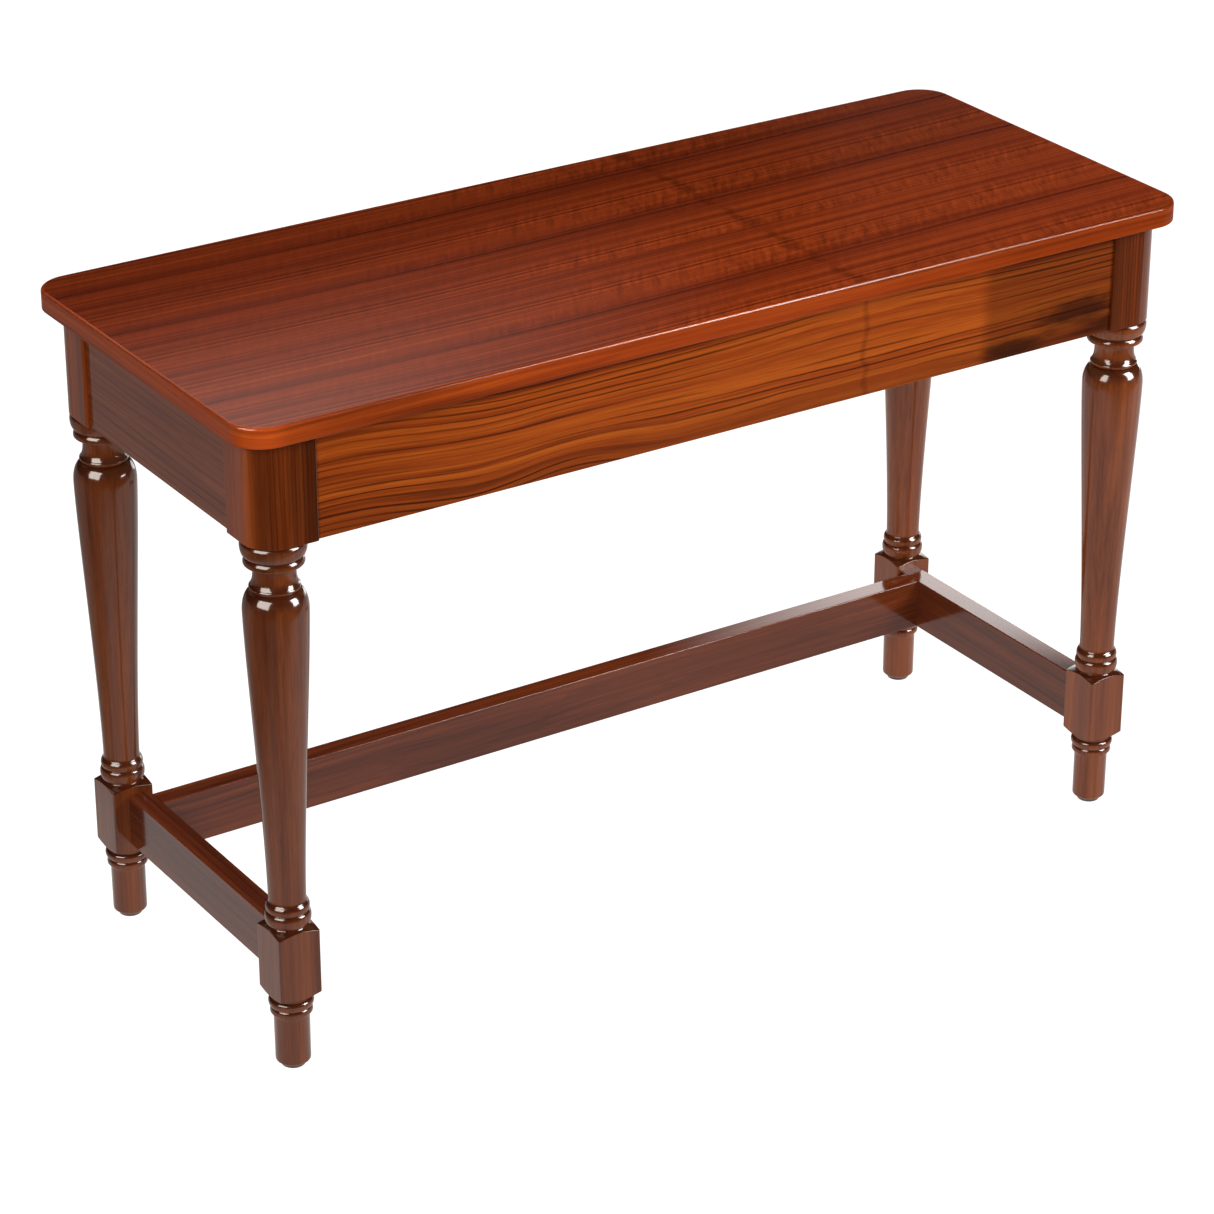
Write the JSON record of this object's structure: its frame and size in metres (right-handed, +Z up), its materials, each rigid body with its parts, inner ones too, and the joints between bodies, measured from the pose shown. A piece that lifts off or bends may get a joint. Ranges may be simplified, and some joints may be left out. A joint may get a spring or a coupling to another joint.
{
  "type": "piano bench",
  "caption": "Rectangular wooden piano bench with a rear-hinged lid over a music compartment, on four turned legs joined low down by two side stretchers and one long stretcher near the rear legs.",
  "frame": {"origin": "centre of the bench's plan, on the floor", "axes": "+X along the length, to the right seen from the front, +Y towards the hinge at the rear, +Z up"},
  "size_m": [0.79, 0.32, 0.505],
  "materials": {
    "top_veneer": "gloss lacquer over red-brown stained veneer",
    "edge_band": "gloss lacquer, grain running round the edge",
    "apron_veneer": "satin-gloss lacquer over orange-brown stained veneer",
    "post_wood": "gloss lacquer over dark brown stain, vertical grain",
    "leg_wood": "gloss lacquer over dark red-brown stain, vertical grain",
    "stretcher_wood": "gloss lacquer over dark red-brown stain, grain along the length",
    "inner_wood": "unstained, thin satin lacquer",
    "board_core": "raw board",
    "hinge_brass": "brushed",
    "screw_steel": "zinc plated",
    "felt": "felt",
    "glide_plastic": "matte dark brown"
  },
  "bodies": {
    "case": {"hinge_case_leaf": "hinge_brass", "hinge_case_screws": "hinge_brass", "hinge_pin": "hinge_brass", "front_left_post": "post_wood", "front_right_post": "post_wood", "rear_left_post": "post_wood", "rear_right_post": "post_wood", "front_apron": "inner_wood", "rear_apron": "inner_wood", "left_apron": "inner_wood", "right_apron": "inner_wood", "front_apron_veneer": "apron_veneer", "rear_apron_veneer": "apron_veneer", "left_apron_veneer": "apron_veneer", "right_apron_veneer": "apron_veneer", "apron_dowels": "inner_wood", "lid_rest_pads": "felt", "bottom_board": "inner_wood", "front_ledger": "inner_wood", "rear_ledger": "inner_wood", "left_ledger": "inner_wood", "right_ledger": "inner_wood", "bottom_screws": "screw_steel", "front_left_leg": "leg_wood", "front_right_leg": "leg_wood", "rear_left_leg": "leg_wood", "rear_right_leg": "leg_wood", "left_stretcher": "stretcher_wood", "right_stretcher": "stretcher_wood", "rear_stretcher": "stretcher_wood", "front_left_glide": "glide_plastic", "front_right_glide": "glide_plastic", "rear_left_glide": "glide_plastic", "rear_right_glide": "glide_plastic", "glide_nails": "screw_steel"},
    "lid": {"lid_core": "board_core", "lid_top_veneer": "top_veneer", "lid_bottom_veneer": "inner_wood", "lid_edge_band": "edge_band", "hinge_lid_leaf": "hinge_brass", "hinge_lid_screws": "hinge_brass"}
  },
  "joints": [
    {"name": "lid_hinge", "type": "hinge", "parent": "case", "child": "lid", "pos_m": [0, 0.149, 0.4875], "axis": [-1, 0, 0], "range_deg": [0, 98]}
  ]
}
